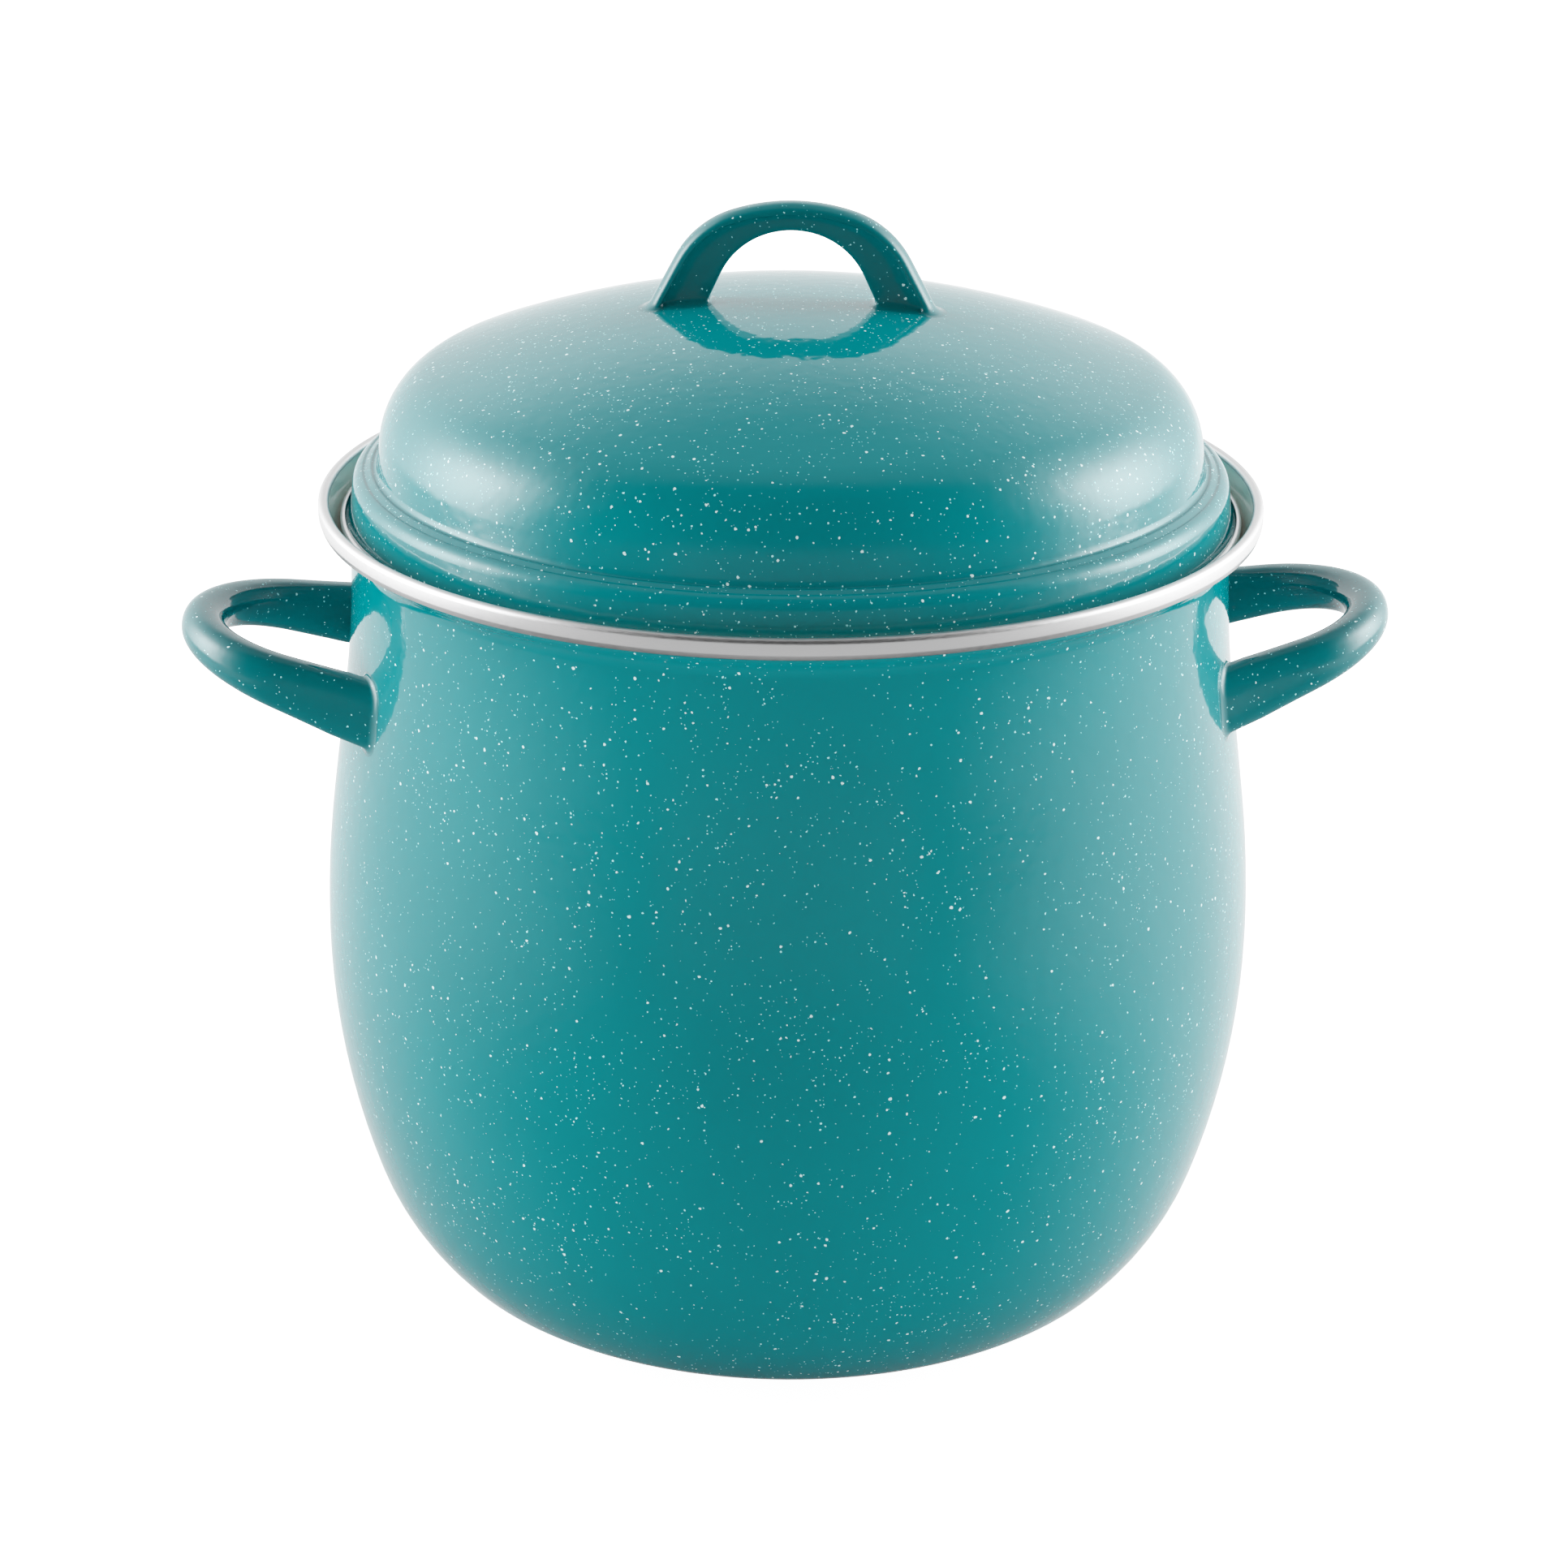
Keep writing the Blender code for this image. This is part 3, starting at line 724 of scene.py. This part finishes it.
def tube_rings(points, radius, closed, sides):
    """Rings round a line of points, turned as little as possible from one to the next."""
    points = [Vector(p) for p in points]
    count = len(points)
    rings = []
    normal = None
    for i, point in enumerate(points):
        before = points[i - 1] if closed or i > 0 else point
        after = points[(i + 1) % count] if closed or i < count - 1 else point
        heading = (after - before).normalized()
        if normal is None:
            seed = Vector((0.0, 0.0, 1.0)) if abs(heading.z) < 0.9 else Vector((1.0, 0.0, 0.0))
            normal = (seed - heading * seed.dot(heading)).normalized()
        else:
            normal = (normal - heading * normal.dot(heading)).normalized()
        side = heading.cross(normal)
        ring = []
        for k in range(sides):
            angle = math.tau * k / sides
            ring.append(point + (normal * math.cos(angle) + side * math.sin(angle)) * radius)
        rings.append(ring)
    return rings


def wire(name, points, radius, body, node, closed=False, sides=16):
    """A round wire along the points, with domed ends unless it is a ring."""
    rings = tube_rings(points, radius, closed, sides)
    if not closed:
        start, end = Vector(points[0]), Vector(points[-1])
        before = (start - Vector(points[1])).normalized()
        after = (end - Vector(points[-2])).normalized()
        begin, finish = [], []
        for k in (3, 2, 1):
            angle = math.pi / 2 * k / 3.4
            shrink = math.cos(angle)
            push = math.sin(angle) * radius * 0.6
            begin.append([start + (p - start) * shrink + before * push for p in rings[0]])
            finish.insert(0, [end + (p - end) * shrink + after * push for p in rings[-1]])
        rings = begin + rings + finish
    obj = skin(name, rings, [CHROME], closed)
    finish_piece(obj, body, "chrome_wire", node)


def circle(radius, z, count=120):
    angles = [math.tau * i / count for i in range(count)]
    return [(radius * math.cos(a), radius * math.sin(a), z) for a in angles]


def node_middle(node):
    """Middle and size of a CAD node, in millimetres."""
    low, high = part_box(node)
    return (low + high) / 2 / MM, (high - low) / MM


def ring_wires():
    for node, radius in (
        ("rack_foot_ring", RING_WIRE),
        ("rack_floor_ring", RING_WIRE),
        ("rack_top_ring", THICK_WIRE),
        ("rack_center_ring_lower", RING_WIRE),
        ("rack_center_ring_upper", RING_WIRE),
    ):
        middle, size = node_middle(node)
        points = circle(size.x / 2 - radius, middle.z)
        wire(node.replace("rack", "wire"), points, radius, "rack", node, closed=True)


def straight_wire(name, node, radius):
    """A wire along Y through the middle of its CAD node."""
    middle, size = node_middle(node)
    half = size.y / 2
    wire(name, [(middle.x, y, middle.z) for y in (-half, 0.0, half)], radius, "rack", node)


def straight_wires():
    for i in range(1, FLOOR_WIRE_COUNT + 1):
        straight_wire(f"wire_floor_{i}", f"rack_floor_wire_{i}", FLOOR_WIRE)
    for side in ("left", "right"):
        straight_wire(f"wire_hinge_bar_{side}", f"rack_hinge_bar_{side}", THICK_WIRE)


def bend(corner, before, after, radius, steps):
    """Points of an arc that rounds a corner."""
    corner = Vector(corner)
    a = (Vector(before) - corner).normalized()
    b = (Vector(after) - corner).normalized()
    half = a.angle(b) / 2
    centre = corner + (a + b).normalized() * (radius / math.sin(half))
    reach = radius / math.tan(half)
    start = corner + a * reach - centre
    end = corner + b * reach - centre
    turn = start.angle(end)
    axis = start.cross(end).normalized()
    return [centre + Matrix.Rotation(turn * i / steps, 3, axis) @ start for i in range(steps + 1)]


def dividers():
    """Six wires from the foot ring up, in over the top and down to the centre rings."""
    leg_end = WALL + GAP + 2 * RING_WIRE + GAP
    centre_low = FLOOR_RING_Z + RING_WIRE + GAP + 2 * RING_WIRE + GAP + RING_WIRE
    foot = (FOOT_RING_RADIUS, 0.0, leg_end)
    outer = (DIVIDER_TOP_RADIUS, 0.0, DIVIDER_TOP)
    inner = (DIVIDER_INNER_RADIUS, 0.0, DIVIDER_TOP)
    end = (DIVIDER_INNER_RADIUS, 0.0, centre_low + RING_WIRE)
    points = [Vector(foot)] + bend(outer, foot, inner, DIVIDER_BEND, 10)
    points += bend(inner, outer, end, DIVIDER_BEND, 10) + [Vector(end)]
    for i in range(DIVIDER_COUNT):
        turn = Matrix.Rotation(math.tau * i / DIVIDER_COUNT, 3, "Z")
        turned = [turn @ p for p in points]
        wire(f"wire_divider_{i + 1}", turned, THICK_WIRE, "rack", f"rack_divider_{i + 1}")


def bails():
    """The folding handles, lying flat: two eyes round the hinge bar and a loop inwards."""
    level = DIVIDER_TOP + 2 * THICK_WIRE + GAP
    bar = level + 2 * THICK_WIRE + GAP
    eye_radius = bar - level
    for side, direction in (("right", 1), ("left", -1)):
        eye = []
        for i in range(25):
            angle = math.radians(90.0 + EYE_WRAP * (1 - i / 24))
            eye.append(Vector((
                direction * (HINGE_X - eye_radius * math.cos(angle)), BAIL_HALF_WIDTH,
                bar - eye_radius * math.sin(angle),
            )))
        far = direction * (HINGE_X - BAIL_LENGTH)
        corner = (far, BAIL_HALF_WIDTH, level)
        half = eye + bend(corner, eye[-1], (far, 0.0, level), BAIL_CORNER, 10)
        points = half + [Vector((p.x, -p.y, p.z)) for p in reversed(half)]
        wire(f"wire_bail_{side}", points, THICK_WIRE, f"{side}_bail", f"rack_handle_{side}")


# ---------------------------------------------------------------- studio

def studio_light():
    """A white studio: soft boxes on both sides, a pale back wall and floor, and a dim front.

    turn is the angle from the front round the pot and rise the one above the horizon, both in
    degrees. Each light is a soft patch over them, times its brightness.
    """
    world = bpy.data.worlds.new("studio")
    bpy.context.scene.world = world
    world.use_nodes = True
    n = Nodes(world.node_tree)
    parts = n.add("ShaderNodeSeparateXYZ", {0: n.add("ShaderNodeTexCoord").outputs["Generated"]})
    x, y, z = parts.outputs
    flat = n.math("SQRT", n.math("ADD", n.math("MULTIPLY", x, x), n.math("MULTIPLY", y, y)))
    flat = n.math("MAXIMUM", flat, 1e-4)
    front_x, front_y = FRONT
    ahead = n.math("ADD", n.math("MULTIPLY", x, front_x), n.math("MULTIPLY", y, front_y))
    aside = n.math("SUBTRACT", n.math("MULTIPLY", y, front_x), n.math("MULTIPLY", x, front_y))
    turn = n.math("DEGREES", n.math("ARCCOSINE", n.math("DIVIDE", ahead, flat)))
    rise = n.math("DEGREES", n.math("ARCSINE", z))
    right = n.ramp(n.math("DIVIDE", aside, flat), -1.0, 1.0)

    def times(*values):
        product = values[0]
        for value in values[1:]:
            product = n.math("MULTIPLY", product, value)
        return product

    def bell(value, middle, below, above):
        gap = n.math("SUBTRACT", value, middle)
        low = n.math("DIVIDE", n.math("MINIMUM", gap, 0.0), below)
        high = n.math("DIVIDE", n.math("MAXIMUM", gap, 0.0), above)
        squares = n.math("ADD", times(low, low), times(high, high))
        return n.math("EXPONENT", times(squares, -1.0))

    side_edge = n.ramp(turn, 50.0, 60.0)
    horizon = n.ramp(rise, -10.5, -5.0)
    box_middle = n.ramp(right, 0.0, 1.0, 96.0, 99.5)
    box_turn = bell(turn, box_middle, 18.5, 24.0)
    side_box = times(side_edge, horizon, box_turn, bell(rise, 18.0, 33.0, 20.0), 13.2)
    high_box = times(bell(turn, 122.0, 24.0, 26.0), bell(rise, 47.0, 12.0, 11.0), 1.3)
    back_turn = times(n.ramp(turn, 60.0, 130.0), n.ramp(turn, 135.0, 180.0, 2.15, 1.45))
    back_wall = times(back_turn, horizon, n.ramp(rise, 24.0, 54.0, 1.0, 0.0))
    near_turn = n.math("ADD", turn, n.ramp(rise, -32.0, -10.0, 0.0, 22.0))
    floor_turn = times(n.ramp(near_turn, 55.0, 122.0), n.ramp(turn, 135.0, 180.0, 1.0, 0.72))
    floor_side = n.ramp(right, 0.0, 1.0, 0.86, 1.14)
    below = n.math("SUBTRACT", 1.0, horizon)
    pale_floor = times(floor_turn, floor_side, below, bell(rise, -5.0, 34.0, 4.0), 2.4)
    ceiling = times(n.ramp(ahead, -0.20, 0.16, 0.36, 0.0), n.ramp(rise, 0.0, 40.0))
    strip = times(n.ramp(turn, 24.0, 40.0, 0.16, 0.0), bell(rise, -2.0, 10.0, 10.0))
    total = n.ramp(rise, -8.0, 8.0, 0.12, 0.03)
    for light in (side_box, high_box, back_wall, pale_floor, ceiling, strip):
        total = n.math("ADD", total, light)
    seen = n.add("ShaderNodeBackground", {"Color": PURE_WHITE, "Strength": WHITE})
    lit = n.add("ShaderNodeBackground", {"Color": PURE_WHITE, "Strength": total})
    path = n.add("ShaderNodeLightPath")
    mixed = n.add("ShaderNodeMixShader", {
        0: path.outputs["Is Camera Ray"], 1: lit.outputs[0], 2: seen.outputs[0],
    })
    n.add("ShaderNodeOutputWorld", {"Surface": mixed.outputs[0]})


def floor():
    """A plain pale floor that the camera sees as white."""
    made, n = new_material("pale_floor")
    shade = n.add("ShaderNodeBsdfDiffuse", {"Color": FLOOR_COLOR})
    path = n.add("ShaderNodeLightPath")
    seen = n.math("MULTIPLY", path.outputs["Is Camera Ray"], WHITE - FLOOR_LIT)
    bounce = n.math("MULTIPLY", path.outputs["Is Diffuse Ray"], FLOOR_BOUNCE)
    glow = n.add("ShaderNodeEmission", {
        "Color": PURE_WHITE, "Strength": n.math("ADD", seen, bounce),
    })
    shader = n.add("ShaderNodeAddShader", {0: shade.outputs[0], 1: glow.outputs[0]})
    n.add("ShaderNodeOutputMaterial", {"Surface": shader.outputs[0]})
    half = FLOOR_HALF
    corners = [(-half, -half, 0), (half, -half, 0), (half, half, 0), (-half, half, 0)]
    obj = make_piece("floor", corners, [(0, 1, 2, 3)], [made])
    obj.visible_glossy = False


def area_light(name, size, energy):
    """A rectangular light that the camera doesn't see."""
    data = bpy.data.lights.new(name, "AREA")
    data.shape = "RECTANGLE"
    data.size, data.size_y = size
    data.energy = energy
    obj = bpy.data.objects.new(name, data)
    obj.visible_camera = False
    bpy.context.scene.collection.objects.link(obj)
    return obj


def front_fill():
    """Three wide low fills round the front, kept out of the reflections."""
    for name, turn, energy in FILLS:
        obj = area_light(name, FILL_SIZE, energy)
        around = Matrix.Rotation(math.radians(turn + STUDIO_YAW), 4, "Z")
        upright = Matrix.Rotation(math.radians(90.0), 4, "X")
        obj.matrix_world = around @ Matrix.Translation(FILL_PLACE) @ upright
        obj.visible_glossy = False


def steel_card():
    """A pale card low in front that only the steel bands and wires reflect."""
    obj = area_light("steel_card", CARD_SIZE, CARD_ENERGY)
    obj.location = CARD_PLACE
    obj.rotation_euler = (math.radians(CARD_TILT), 0.0, math.radians(STUDIO_YAW))
    group = bpy.data.collections.new("steel_pieces")
    for piece in bpy.data.objects:
        coats = piece.data.materials if piece.type == "MESH" else []
        if coats and coats[0] in (STEEL, CHROME):
            group.objects.link(piece)
    obj.light_linking.receiver_collection = group


def camera():
    data = bpy.data.cameras.new("camera")
    data.lens = CAMERA_LENS
    data.sensor_width = CAMERA_SENSOR
    data.clip_end = 50.0
    obj = bpy.data.objects.new("camera", data)
    obj.location = CAMERA_PLACE
    obj.rotation_euler = [math.radians(v) for v in CAMERA_TURN]
    bpy.context.scene.collection.objects.link(obj)
    bpy.context.scene.camera = obj


def tone():
    """Plain display colours with a shoulder that rolls bright tones off towards white."""
    view = bpy.context.scene.view_settings
    view.view_transform = "Standard"
    view.use_curve_mapping = True
    mapping = view.curve_mapping
    mapping.clip_max_x = WHITE
    curve = mapping.curves[3]
    curve.points[-1].location = (WHITE, 1.0)
    for light, shown in SHOULDER:
        curve.points.new(light, shown)
    mapping.update()


def main():
    pot_shell()
    pot_rim_band()
    side_handle("handle_right", 1, "side_handle_right")
    side_handle("handle_left", -1, "side_handle_left")
    lid_shell()
    lid_rim_band()
    lid_handle()
    ring_wires()
    straight_wires()
    dividers()
    bails()
    studio_light()
    floor()
    front_fill()
    steel_card()
    camera()
    tone()


main()
